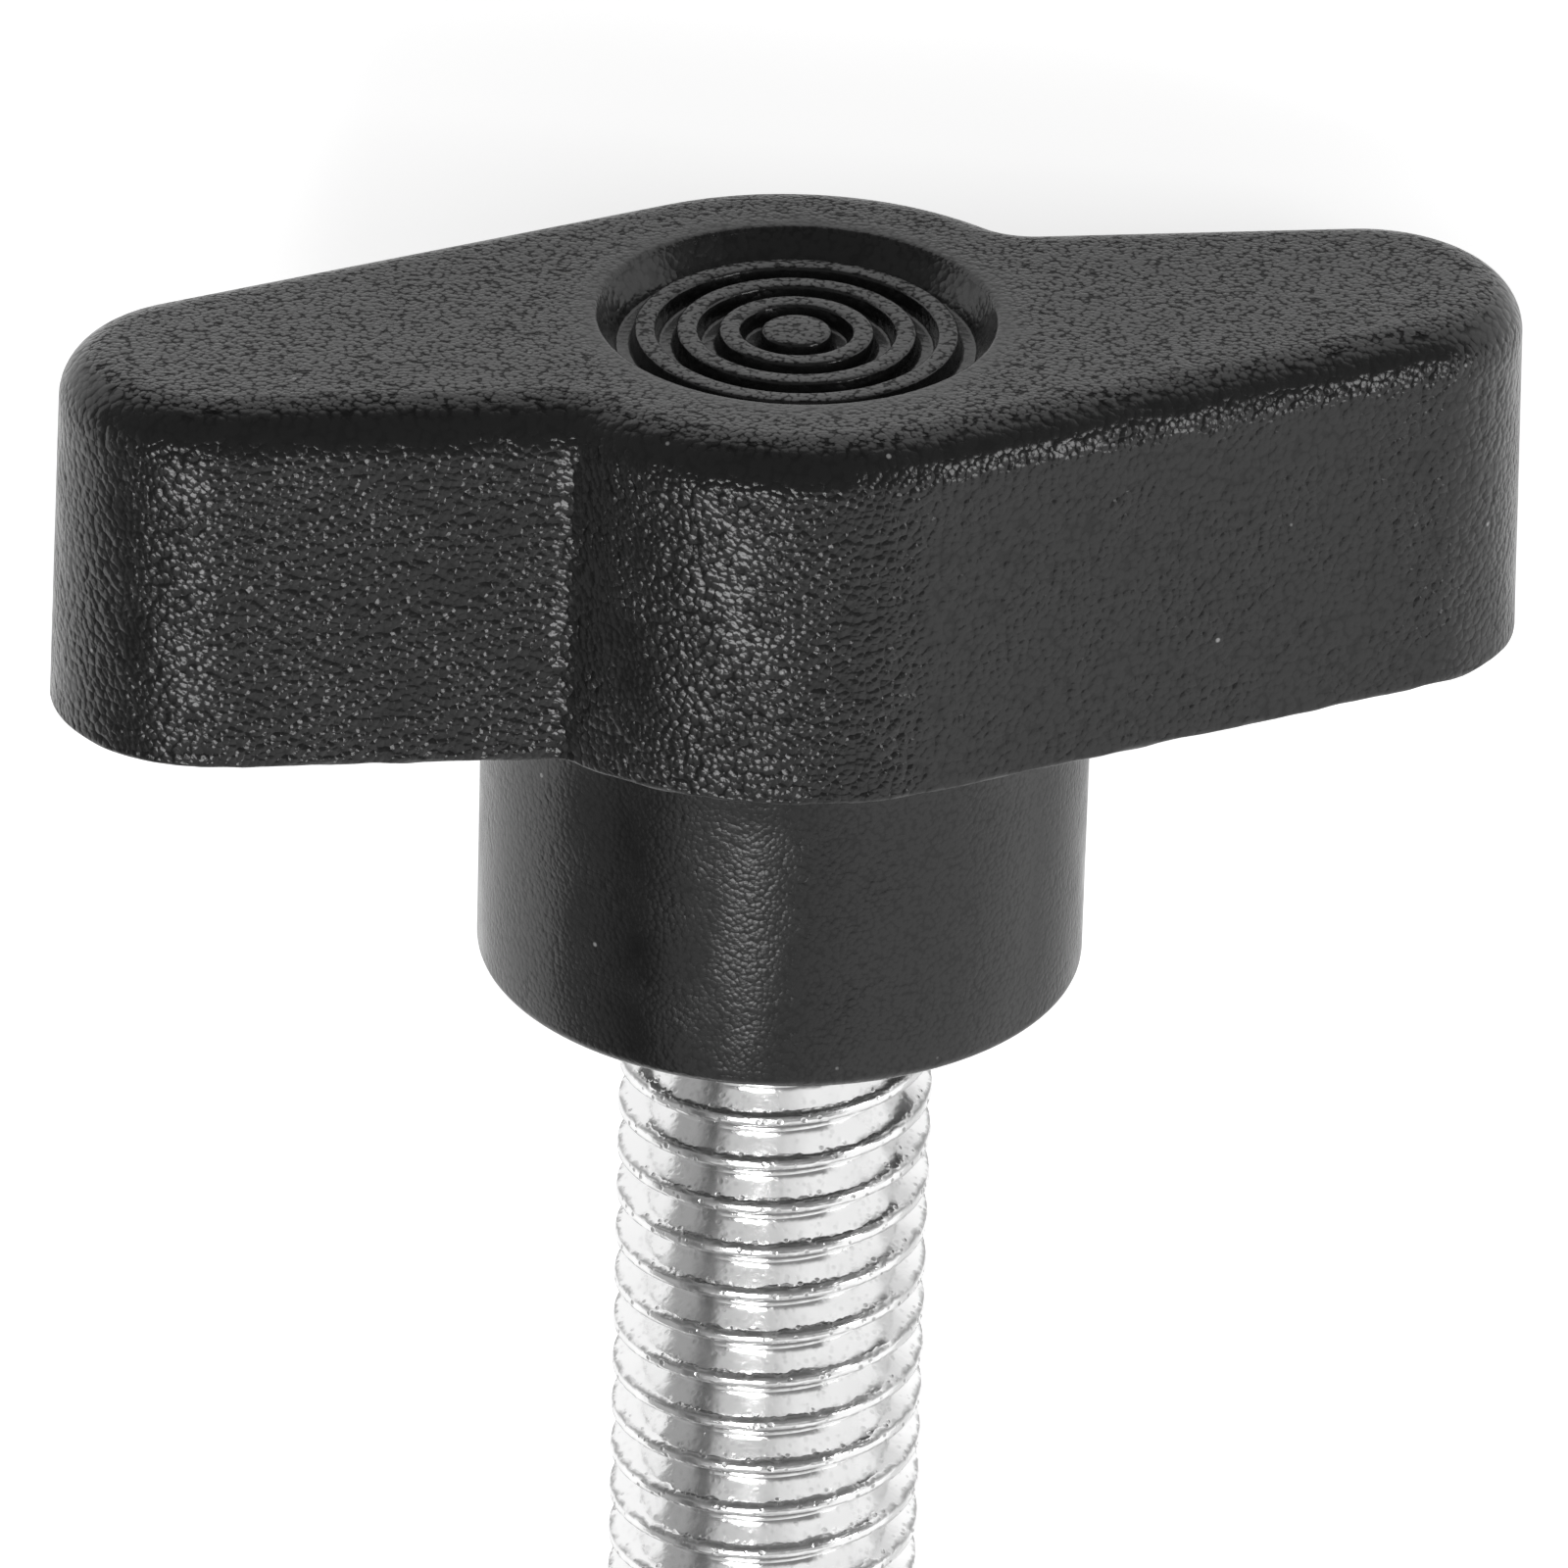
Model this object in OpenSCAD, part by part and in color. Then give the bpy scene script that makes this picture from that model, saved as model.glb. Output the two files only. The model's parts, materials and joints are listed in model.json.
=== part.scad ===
// Thumb screw with a two-winged moulded grip and a threaded stud.
// The screw is designed upright, with its seat at z = 0, its grip above and its stud below.
// It is then laid down as it comes to rest on a flat surface: on the edge of its hub,
// the end of its stud and the tip of one wing.

/* [Stud] */
// Nominal diameter of the thread
thread_d = 8; // [6:0.5:9]
// Pitch of the thread
thread_pitch = 1.25; // [1:0.25:1.5]
// How far the rolled crests stay under the nominal diameter
crest_allowance = 0.14; // [0:0.02:0.24]
// Length of the stud that stands out of the hub
stud_len = 30; // [28:1:60]

/* [Stud root] */
// Length of the plain neck between the thread's run-out and the first knurl
neck_len = 1; // [0.5:0.5:2]
// Diameter over the knurls
knurl_d = 9.2; // [8.6:0.1:10.4]
// Length of each of the two knurls
knurl_len = 4; // [2:0.5:4.5]
// Number of teeth round a knurl
knurl_teeth = 24; // [16:2:30]
// Depth of a knurl tooth
knurl_depth = 0.4; // [0.2:0.05:0.5]
// Length of the locking groove between the knurls
lock_groove_len = 2.5; // [1:0.5:3]
// Diameter at the bottom of the locking groove
lock_groove_d = 7; // [5:0.25:7.5]

/* [Hub] */
// Diameter of the hub below the wings
hub_d = 15.1; // [13:0.1:15.8]
// Height of the hub, from the seat to the underside of the wings
hub_h = 8.1; // [6:0.1:11]
// Rounding of the hub's lower edge
hub_edge_r = 0.3; // [0.1:0.05:0.8]

/* [Grip] */
// Diameter of the boss between the wings, at its underside
boss_d = 15.9; // [15.2:0.1:18]
// Height of the wings and the boss
grip_h = 9.4; // [8:0.1:12]
// Length over the two wing tips
wing_span = 36.7; // [33:0.1:44]
// Radius of a wing tip in plan
tip_r = 4; // [3:0.1:4.8]
// Angle at which the straight side of a wing widens towards the boss
wing_flare = 4.6; // [0:0.2:8]
// Radius of the inner corner where that side meets the boss
corner_r = 1; // [0.5:0.1:2]
// Draft of the sides
draft = 1.4; // [0.5:0.1:3]
// Rounding of the top edge
top_edge_r = 1.3; // [0.6:0.1:1.6]

/* [Recess] */
// Diameter of the recess in the top face
recess_d = 9.86; // [9.2:0.02:11]
// Width of the sloping wall round the recess
recess_slope_w = 0.53; // [0.2:0.01:0.7]
// Depth of the ring tops below the top face
ring_drop = 0.42; // [0.2:0.02:0.8]
// Depth of the grooves below the ring tops
groove_depth = 0.5; // [0.2:0.05:0.8]
// Diameter of the dot in the middle
dot_d = 1.69; // [1:0.01:1.9]
// Number of rings round the dot
ring_count = 3; // [1:1:3]
// Width of a ring at its top
ring_w = 0.5; // [0.3:0.02:0.6]
// Distance from one ring to the next
ring_step = 1.04; // [0.9:0.02:1.06]
// Draft of the walls of the rings and the dot
ring_draft = 10; // [3:1:15]

/* [Hidden] */

$fn = 96;
// Steps along each arc of the grip's outline, and up its rounded top edge
tip_steps = 24;
corner_steps = 8;
boss_steps = 14;
edge_steps = 8;
// How far a cut or a joined solid runs past the face that it crosses
overrun = 1;
// Depth of a metric external thread, as a share of its pitch
thread_depth_ratio = 0.6134;
// How far the blank that such a thread is rolled on stays under the nominal diameter, as a share
// of the pitch
blank_ratio = 0.6495;

// Radii
crest_r = (thread_d - crest_allowance) / 2;
neck_r = (thread_d - blank_ratio * thread_pitch) / 2;
thread_depth = thread_depth_ratio * thread_pitch;
stud_end_r = crest_r - thread_depth;
stud_end_chamfer = thread_depth;
// Inside the hub the thread runs out into the neck over one pitch
runout_len = thread_pitch;
hub_r = hub_d / 2;
boss_r = boss_d / 2;
recess_r = recess_d / 2;
recess_floor_r = recess_r - recess_slope_w;
ring_spread = groove_depth * tan(ring_draft);

// Heights above the seat
grip_z = hub_h;
top_z = grip_z + grip_h;
lower_knurl_z = runout_len + neck_len;
lock_groove_z = lower_knurl_z + knurl_len;
upper_knurl_z = lock_groove_z + lock_groove_len;

// Plan of the grip at its underside. A wing tip is a circle on the x axis. One side of the wing
// is tangent to the tip and the boss, and the other widens to an inner corner on the boss.
tip_x = wing_span / 2 - tip_r;
tangent_angle = asin((boss_r - tip_r) / tip_x);
flare_normal = [sin(wing_flare), cos(wing_flare)];
flare_along = [cos(wing_flare), -sin(wing_flare)];
flare_reach = tip_x * sin(wing_flare) + tip_r + corner_r;
corner_centre = flare_reach * flare_normal
    + sqrt((boss_r + corner_r) ^ 2 - flare_reach ^ 2) * flare_along;
corner_angle = atan2(corner_centre.y, corner_centre.x);

// Inset of the top rounding's centre line from the outline of the underside
edge_z = grip_h - top_edge_r;
edge_inset = tan(draft) * (edge_z + top_edge_r * sin(draft)) + top_edge_r * cos(draft);

// Rest. The surface touches the rim of the stud's end and the rounded edge of the hub, or the
// edge of the boss where that stands out more, and the screw has rolled onto a wing tip.
contact_z = stud_end_chamfer - stud_len;
hub_edge = [hub_edge_r - contact_z, hub_r - hub_edge_r - crest_r];
hub_tilt = atan2(hub_edge.y, hub_edge.x) + asin(hub_edge_r / norm(hub_edge));
boss_tilt = atan2(boss_r - crest_r, grip_z - contact_z);
lie_tilt = max(hub_tilt, boss_tilt);
seat_height = crest_r * cos(lie_tilt) - contact_z * sin(lie_tilt);
wing_drop = seat_height / cos(lie_tilt) + grip_z * tan(lie_tilt);
lie_roll = asin((wing_drop - tip_r) / tip_x);

// Ends of the screw along the surface, which set the origin halfway between them
handle_end = (top_z - top_edge_r) * cos(lie_tilt) + top_edge_r
    + (wing_drop - edge_inset) * sin(lie_tilt);
stud_end = -stud_len * cos(lie_tilt) - stud_end_r * sin(lie_tilt);

// Points of an arc
function arc(centre, r, from, to, steps) =
    [for (i = [0 : steps])
        let (a = from + (to - from) * i / steps)
        centre + r * [cos(a), sin(a)]];

// Half of the grip's outline, moved inwards by inset: wing tip, inner corner, boss
function half_outline(inset) = concat(
    arc([tip_x, 0], tip_r - inset, tangent_angle - 90, 90 - wing_flare, tip_steps),
    arc(corner_centre, corner_r + inset, -90 - wing_flare, corner_angle - 180, corner_steps),
    arc([0, 0], boss_r - inset, corner_angle, 90 + tangent_angle, boss_steps));

// The two halves are the same, turned by half a turn
function outline(inset) =
    let (half = half_outline(inset))
    concat(half, -half);

// Each level of the grip as [height, inset]: the underside, then the rounded top edge
grip_levels = concat(
    [[0, 0]],
    [for (i = [0 : edge_steps])
        let (a = draft + (90 - draft) * i / edge_steps)
        [edge_z + top_edge_r * sin(a), edge_inset - top_edge_r * cos(a)]]);

// A closed solid through one ring of points for each level
module loft(levels) {
    rings = [for (level = levels) outline(level[1])];
    count = len(rings[0]);
    points = [
        for (k = [0 : len(levels) - 1])
            for (p = rings[k])
                [p.x, p.y, levels[k][0]]
    ];
    sides = [
        for (k = [0 : len(levels) - 2])
            for (i = [0 : count - 1])
                let (j = (i + 1) % count)
                [k * count + i, (k + 1) * count + i, (k + 1) * count + j, k * count + j]
    ];
    bottom = [for (i = [0 : count - 1]) i];
    top = [for (i = [count - 1 : -1 : 0]) (len(levels) - 1) * count + i];
    polyhedron(points, concat([bottom, top], sides), convexity = 6);
}

module grip() {
    translate([0, 0, grip_z])
        loft(grip_levels);
}

module hub() {
    rotate_extrude() {
        square([hub_r - hub_edge_r, grip_z + overrun]);
        translate([0, hub_edge_r])
            square([hub_r, grip_z + overrun - hub_edge_r]);
        translate([hub_r - hub_edge_r, hub_edge_r])
            circle(hub_edge_r);
    }
}

// A ring of the recess, standing on its floor. Its walls draw in towards its top.
module ring(outer_r) {
    rotate_extrude()
        polygon([
            [outer_r - ring_w - ring_spread, 0],
            [outer_r + ring_spread, 0],
            [outer_r, groove_depth],
            [outer_r - ring_w, groove_depth]
        ]);
}

// The space that the mould leaves in the top face
module ringed_recess() {
    depth = ring_drop + groove_depth;
    slope = recess_slope_w / depth;
    translate([0, 0, top_z - depth])
        difference() {
            cylinder(r1 = recess_floor_r, r2 = recess_r + slope * overrun, h = depth + overrun);
            cylinder(r1 = dot_d / 2 + ring_spread, r2 = dot_d / 2, h = groove_depth);
            for (i = [1 : ring_count])
                ring(dot_d / 2 + i * ring_step);
        }
}

module knurl() {
    linear_extrude(knurl_len)
        polygon([
            for (i = [0 : 2 * knurl_teeth - 1])
                let (r = knurl_d / 2 - (i % 2) * knurl_depth, a = 180 * i / knurl_teeth)
                [r * cos(a), r * sin(a)]
        ]);
}

// The end of the stud that the handle is moulded round, from the seat up
module stud_root() {
    cylinder(r1 = crest_r, r2 = neck_r, h = runout_len);
    translate([0, 0, runout_len])
        cylinder(r = neck_r, h = neck_len);
    translate([0, 0, lower_knurl_z])
        knurl();
    translate([0, 0, lock_groove_z])
        cylinder(d = lock_groove_d, h = lock_groove_len);
    translate([0, 0, upper_knurl_z])
        knurl();
}

// Lays the upright screw down on the surface z = 0
module laid_down() {
    translate([0, -(handle_end + stud_end) / 2, seat_height])
        rotate([lie_tilt - 90, 0, 0])
            rotate([0, 0, lie_roll])
                children();
}

module handle() {
    color("#2b2b2c")
        laid_down()
            difference() {
                union() {
                    grip();
                    hub();
                }
                ringed_recess();
                stud_root();
            }
}

module stud() {
    color("#c8cacc")
        laid_down()
            union() {
                stud_root();
                translate([0, 0, -stud_len + stud_end_chamfer])
                    cylinder(r = crest_r, h = stud_len - stud_end_chamfer);
                translate([0, 0, -stud_len])
                    cylinder(r1 = stud_end_r, r2 = crest_r, h = stud_end_chamfer);
            }
}

handle();
stud();
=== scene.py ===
"""Looks of the thumb screw: its moulded handle, its zinc-plated stud, and the studio round it."""
import json
import logging
import math
from dataclasses import dataclass, field
from enum import Enum

import bmesh
import bpy
import numpy as np
from mathutils import Matrix, Vector, noise


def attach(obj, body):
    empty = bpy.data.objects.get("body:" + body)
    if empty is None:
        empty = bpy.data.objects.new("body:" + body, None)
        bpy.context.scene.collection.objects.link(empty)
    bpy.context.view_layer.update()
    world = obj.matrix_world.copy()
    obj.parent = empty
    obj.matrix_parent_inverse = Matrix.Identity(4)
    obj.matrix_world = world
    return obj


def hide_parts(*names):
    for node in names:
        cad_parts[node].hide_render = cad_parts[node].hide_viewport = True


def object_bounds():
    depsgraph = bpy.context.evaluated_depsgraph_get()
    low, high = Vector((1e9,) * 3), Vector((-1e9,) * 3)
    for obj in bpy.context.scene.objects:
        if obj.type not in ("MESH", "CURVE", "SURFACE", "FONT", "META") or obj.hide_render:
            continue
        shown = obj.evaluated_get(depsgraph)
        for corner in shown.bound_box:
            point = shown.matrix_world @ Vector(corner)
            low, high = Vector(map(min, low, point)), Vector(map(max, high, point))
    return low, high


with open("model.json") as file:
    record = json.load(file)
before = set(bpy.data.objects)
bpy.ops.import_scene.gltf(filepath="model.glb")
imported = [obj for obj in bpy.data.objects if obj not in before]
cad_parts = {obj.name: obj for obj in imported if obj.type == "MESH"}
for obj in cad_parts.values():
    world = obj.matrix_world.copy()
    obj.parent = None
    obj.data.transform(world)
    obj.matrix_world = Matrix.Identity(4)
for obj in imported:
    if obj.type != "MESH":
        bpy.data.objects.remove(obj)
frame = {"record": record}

logging.basicConfig(level=logging.INFO, format="%(message)s")
log = logging.getLogger("thumb_screw")

BODY = "root"
METRES_PER_MM = 0.001
CAD_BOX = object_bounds()

Socket = bpy.types.NodeSocket
Sockets = bpy.types.bpy_prop_collection
Faces = list[tuple[int, ...]]


class Slot(Enum):
    """The record's material slots."""

    MOULDED = "moulded_black"
    ZINC = "zinc_steel"


class Section(Enum):
    """How a level of a loft gets its points."""

    ROUND = "round"
    GRIP = "grip"
    KNURL = "knurl"


@dataclass(frozen=True)
class Level:
    """One ring of a loft.

    The size is a radius, or the inset from the grip's outline. A level whose blend lies between
    0 and 1 is part of the way from the grip's outline to a circle of the blend radius.
    """

    section: Section
    size: float
    height: float
    blend: float = 0.0
    blend_radius: float = 0.0


@dataclass(frozen=True)
class Fade:
    """A value that runs from its start, at a low reading, to its end, at a high one."""

    low: float
    high: float
    start: float = 0.0
    end: float = 1.0
    smooth: bool = False


@dataclass(frozen=True)
class Placement:
    """Where the upright screw's frame lies in the scene: millimetres in, metres out."""

    seat: Vector
    along: Vector
    roll: float

    @classmethod
    def from_record(cls, record: dict, grip_height: float, tip_radius: float, tip_x: float) -> "Placement":
        """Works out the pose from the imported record's stud mount.

        Args:
            record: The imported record.
            grip_height: Height of the wings' underside above the seat, in mm.
            tip_radius: Radius of a wing tip, in mm.
            tip_x: Distance from the screw's axis to the centre of a wing tip, in mm.

        Returns:
            The placement of the screw as it lies on the floor, rolled onto a wing tip.
        """
        mount = next(m for m in record["mounts"] if m["name"] == "stud")
        along = -Vector(mount["axis"]).normalized()
        half_length = mount["dims"]["length_mm"] * METRES_PER_MM / 2
        seat = Vector(mount["pos_m"]) + along * half_length
        tilt = math.asin(along.z)
        wing_drop = seat.z / METRES_PER_MM / math.cos(tilt) + grip_height * math.tan(tilt)
        return cls(seat, along, math.asin((wing_drop - tip_radius) / tip_x))

    @property
    def turn(self) -> Matrix:
        """The rotation that lays the upright screw down."""
        tilt = math.asin(self.along.z)
        return Matrix.Rotation(tilt - math.pi / 2, 4, "X") @ Matrix.Rotation(self.roll, 4, "Z")

    @property
    def matrix(self) -> Matrix:
        """The whole placement, with the change from millimetres to metres."""
        return Matrix.Translation(self.seat) @ self.turn @ Matrix.Scale(METRES_PER_MM, 4)


def arc(centre: tuple[float, float], radius: float, start: float, end: float, steps: int) -> np.ndarray:
    """Points along an arc.

    Args:
        centre: Centre of the arc.
        radius: Radius of the arc.
        start: First angle, in radians.
        end: Last angle, in radians.
        steps: Number of segments.

    Returns:
        The points, one in each row.
    """
    angles = np.linspace(start, end, steps + 1)
    return np.column_stack([centre[0] + radius * np.cos(angles), centre[1] + radius * np.sin(angles)])


def line(start: np.ndarray, end: np.ndarray, steps: int) -> np.ndarray:
    """Points between two points, without the ends.

    Args:
        start: First end.
        end: Second end.
        steps: Number of segments.

    Returns:
        The inner points, one in each row.
    """
    shares = np.linspace(0, 1, steps + 1)[1:-1, None]
    return start + (end - start) * shares


def rounded(corners: list[tuple[float, float, float]], steps: int) -> list[tuple[float, float]]:
    """Rounds the corners of a profile.

    Args:
        corners: Radius, height and rounding radius of each corner, from one end to the other.
        steps: Number of segments in each rounded corner.

    Returns:
        Radius and height of each point of the rounded profile.
    """
    points: list[tuple[float, float]] = []
    for i, (r, z, rounding) in enumerate(corners):
        if rounding == 0 or i in (0, len(corners) - 1):
            points.append((r, z))
            continue
        here = Vector((r, z))
        before = (Vector(corners[i - 1][:2]) - here).normalized()
        after = (Vector(corners[i + 1][:2]) - here).normalized()
        half = before.angle(after) / 2
        centre = here + (before + after).normalized() * (rounding / math.sin(half))
        start = here + before * (rounding / math.tan(half)) - centre
        end = here + after * (rounding / math.tan(half)) - centre
        for k in range(steps + 1):
            p = centre + start.slerp(end, k / steps) * rounding
            points.append((p.x, p.y))
    return points


@dataclass(frozen=True)
class GripPlan:
    """Plan of the two-winged grip, in mm. One half of its outline is the other half turned round."""

    boss_radius: float = 7.95
    tip_radius: float = 4.0
    tip_x: float = 14.35
    flare: float = math.radians(4.6)
    corner_radius: float = 1.0
    spacing: float = 0.2
    least_steps: int = 8

    def half(self, inset: float) -> np.ndarray:
        """Half of the outline.

        Args:
            inset: How far the outline moves inwards.

        Returns:
            The points of the right wing's tip, its flared side, the inner corner, the boss and
            the side that runs on to the other tip.
        """
        tangent = math.asin((self.boss_radius - self.tip_radius) / self.tip_x)
        normal = np.array([math.sin(self.flare), math.cos(self.flare)])
        along = np.array([math.cos(self.flare), -math.sin(self.flare)])
        reach = self.tip_x * math.sin(self.flare) + self.tip_radius + self.corner_radius
        outer = self.boss_radius + self.corner_radius
        corner = reach * normal + math.sqrt(outer**2 - reach**2) * along
        corner_angle = math.atan2(corner[1], corner[0])
        right = math.pi / 2
        tip = self.sweep((self.tip_x, 0), self.tip_radius, -inset, tangent - right, right - self.flare)
        inner = self.sweep(corner, self.corner_radius, inset, -right - self.flare, corner_angle - math.pi)
        boss = self.sweep((0, 0), self.boss_radius, -inset, corner_angle, right + tangent)
        flared = line(tip[-1], inner[0], self.steps(self.tip_x - corner[0]))
        straight = line(boss[-1], -tip[0], self.steps(self.tip_x * math.cos(tangent)))
        return np.concatenate([tip, flared, inner[:-1], boss, straight])

    def sweep(self, centre: tuple, radius: float, inset: float, start: float, end: float) -> np.ndarray:
        """An arc whose number of segments stays the same at every inset.

        Args:
            centre: Centre of the arc.
            radius: Radius of the arc in the outline itself.
            inset: How much the radius grows.
            start: First angle, in radians.
            end: Last angle, in radians.

        Returns:
            The points, one in each row.
        """
        steps = max(self.least_steps, self.steps(radius * abs(end - start)))
        return arc(centre, radius + inset, start, end, steps)

    def steps(self, length: float) -> int:
        """Number of segments along a length."""
        return max(2, round(length / self.spacing))

    def outline(self, inset: float) -> np.ndarray:
        """The whole outline, moved inwards by the inset."""
        half = self.half(inset)
        return np.concatenate([half, -half])


@dataclass(frozen=True)
class StudRoot:
    """The end of the stud that the handle is moulded round, in mm."""

    crest_radius: float = 3.93
    neck_radius: float = 3.594
    runout_length: float = 1.25
    neck_length: float = 1.0
    knurl_radius: float = 4.6
    knurl_length: float = 4.0
    knurl_depth: float = 0.4
    knurl_teeth: int = 24
    groove_length: float = 2.5
    groove_radius: float = 3.5

    def knurl(self, angles: np.ndarray) -> np.ndarray:
        """Radius of the knurl's straight-sided teeth at each angle."""
        share = (angles * self.knurl_teeth / math.tau) % 1.0
        return self.knurl_radius - self.knurl_depth * (1 - np.abs(2 * share - 1))

    def levels(self) -> list[Level]:
        """Lists the levels of the root.

        Returns:
            The levels, from the neck up to the closed end.
        """
        lower = self.runout_length + self.neck_length
        groove = lower + self.knurl_length
        upper = groove + self.groove_length
        return [
            Level(Section.ROUND, self.neck_radius, self.runout_length),
            Level(Section.ROUND, self.neck_radius, lower),
            Level(Section.KNURL, 0.0, lower),
            Level(Section.KNURL, 0.0, groove),
            Level(Section.ROUND, self.groove_radius, groove),
            Level(Section.ROUND, self.groove_radius, upper),
            Level(Section.KNURL, 0.0, upper),
            Level(Section.KNURL, 0.0, upper + self.knurl_length),
        ]

    @property
    def top(self) -> float:
        """Height of the root's closed end above the seat."""
        return self.runout_length + self.neck_length + 2 * self.knurl_length + self.groove_length


def skin(rings: np.ndarray, poles: tuple[float | None, float | None]) -> tuple[np.ndarray, Faces]:
    """Joins rings of points with faces.

    Args:
        rings: Points of each ring, as an array of rings, points and coordinates. Seen from the
            first ring's side, the points run anticlockwise.
        poles: Height of the point on the axis that closes each end, or None for an open end.

    Returns:
        The points and the faces.
    """
    count, around = rings.shape[:2]
    points = list(rings.reshape(-1, 3))
    faces: Faces = []
    for k in range(count - 1):
        for i in range(around):
            j = (i + 1) % around
            faces.append((k * around + i, (k + 1) * around + i, (k + 1) * around + j, k * around + j))
    for first, height in zip((True, False), poles):
        if height is None:
            continue
        pole = len(points)
        points.append(np.array([0.0, 0.0, height]))
        base = 0 if first else (count - 1) * around
        for i in range(around):
            j = (i + 1) % around
            faces.append((pole, base + i, base + j) if first else (pole, base + j, base + i))
    return np.array(points), faces


def new_object(name: str, data: bpy.types.ID) -> bpy.types.Object:
    """Makes an object and links it to the scene.

    Args:
        name: Name of the object.
        data: Its mesh, lamp or camera.

    Returns:
        The object.
    """
    obj = bpy.data.objects.new(name, data)
    bpy.context.scene.collection.objects.link(obj)
    return obj


def mesh_object(name: str, points: np.ndarray, faces: Faces, matrix: Matrix) -> bpy.types.Object:
    """Makes an object from points in the upright screw's frame.

    Args:
        name: Name of the object and its mesh.
        points: Points, in mm.
        faces: Indices of each face's points.
        matrix: Placement of the upright frame in the scene.

    Returns:
        The object, at the origin, with its place in its mesh.
    """
    mesh = bpy.data.meshes.new(name)
    mesh.from_pydata(points.tolist(), [], faces)
    mesh.transform(matrix)
    mesh.validate()
    return new_object(name, mesh)


def soften(mesh: bpy.types.Mesh, sharp_angle: float = math.radians(50)) -> None:
    """Shades a mesh smooth, apart from edges sharper than an angle.

    Args:
        mesh: The mesh.
        sharp_angle: Least angle between two faces at an edge that stays sharp.
    """
    mesh.shade_smooth()
    mesh.set_sharp_from_angle(angle=sharp_angle)


@dataclass
class NodeBuilder:
    """Short calls for adding and linking nodes in a tree."""

    tree: bpy.types.NodeTree

    def node(self, kind: str, inputs: dict | None = None, **settings: object) -> bpy.types.Node:
        """Adds a node.

        Args:
            kind: The node's type name.
            inputs: Value or output socket for each input, by name or number.
            **settings: The node's own properties.

        Returns:
            The node.
        """
        made = self.tree.nodes.new(kind)
        for key, value in settings.items():
            setattr(made, key, value)
        self.feed(made, inputs or {})
        return made

    def feed(self, node: bpy.types.Node, inputs: dict) -> None:
        """Links or sets some inputs of a node.

        Args:
            node: The node.
            inputs: Value or output socket for each input, by name or number.
        """
        for key, value in inputs.items():
            if isinstance(value, Socket):
                self.tree.links.new(value, node.inputs[key])
            else:
                node.inputs[key].default_value = value

    def group(self, tree: bpy.types.NodeTree, inputs: dict) -> Sockets:
        """Adds a node group and returns its outputs."""
        return self.node("ShaderNodeGroup", inputs, node_tree=tree).outputs

    def math(self, operation: str, *values: object) -> Socket:
        """Adds a Math node and returns its output."""
        return self.node("ShaderNodeMath", dict(enumerate(values)), operation=operation).outputs[0]

    def plus(self, first: object, second: object) -> Socket:
        """Adds two values."""
        return self.math("ADD", first, second)

    def minus(self, first: object, second: object) -> Socket:
        """Takes the second value from the first."""
        return self.math("SUBTRACT", first, second)

    def times(self, first: object, second: object) -> Socket:
        """Multiplies two values."""
        return self.math("MULTIPLY", first, second)

    def largest(self, first: object, *others: object) -> Socket:
        """Finds the largest of two or more values.

        Args:
            first: The first value.
            *others: The other values.

        Returns:
            The output socket.
        """
        for value in others:
            first = self.math("MAXIMUM", first, value)
        return first

    def noise(self, where: Socket, scale: object, roughness: float = 0.5) -> Socket:
        """Adds a Noise Texture with a detail of 2 and returns its value."""
        inputs = {"Vector": where, "Scale": scale, "Detail": 2.0, "Roughness": roughness}
        return self.node("ShaderNodeTexNoise", inputs).outputs["Fac"]

    def span(self, value: object, low: object, high: object, start: object, end: object,
             smooth: bool = False) -> Socket:
        """Maps a value from one range onto another, held at its ends.

        Args:
            value: The value.
            low: Value that gives the start.
            high: Value that gives the end.
            start: Result at the low value.
            end: Result at the high value.
            smooth: Whether the result eases in and out.

        Returns:
            The output socket.
        """
        kind = "SMOOTHSTEP" if smooth else "LINEAR"
        inputs = {"Value": value, "From Min": low, "From Max": high, "To Min": start, "To Max": end}
        return self.node("ShaderNodeMapRange", inputs, interpolation_type=kind).outputs["Result"]

    def fade(self, value: object, fade: Fade) -> Socket:
        """Maps a value as a fade says and returns the output."""
        return self.span(value, fade.low, fade.high, fade.start, fade.end, fade.smooth)

    def mix(self, factor: object, first: object, second: object) -> Socket:
        """Mixes two colours.

        Args:
            factor: How much of the second colour there is.
            first: The first colour.
            second: The second colour.

        Returns:
            The output socket.
        """
        made = self.node("ShaderNodeMix", {"Factor": factor}, data_type="RGBA")
        colours = [i for i, socket in enumerate(made.inputs) if socket.type == "RGBA"]
        self.feed(made, dict(zip(colours, (first, second))))
        return next(socket for socket in made.outputs if socket.type == "RGBA")


def grey(level: float) -> tuple[float, float, float, float]:
    """A neutral colour."""
    return (level, level, level, 1.0)


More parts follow.
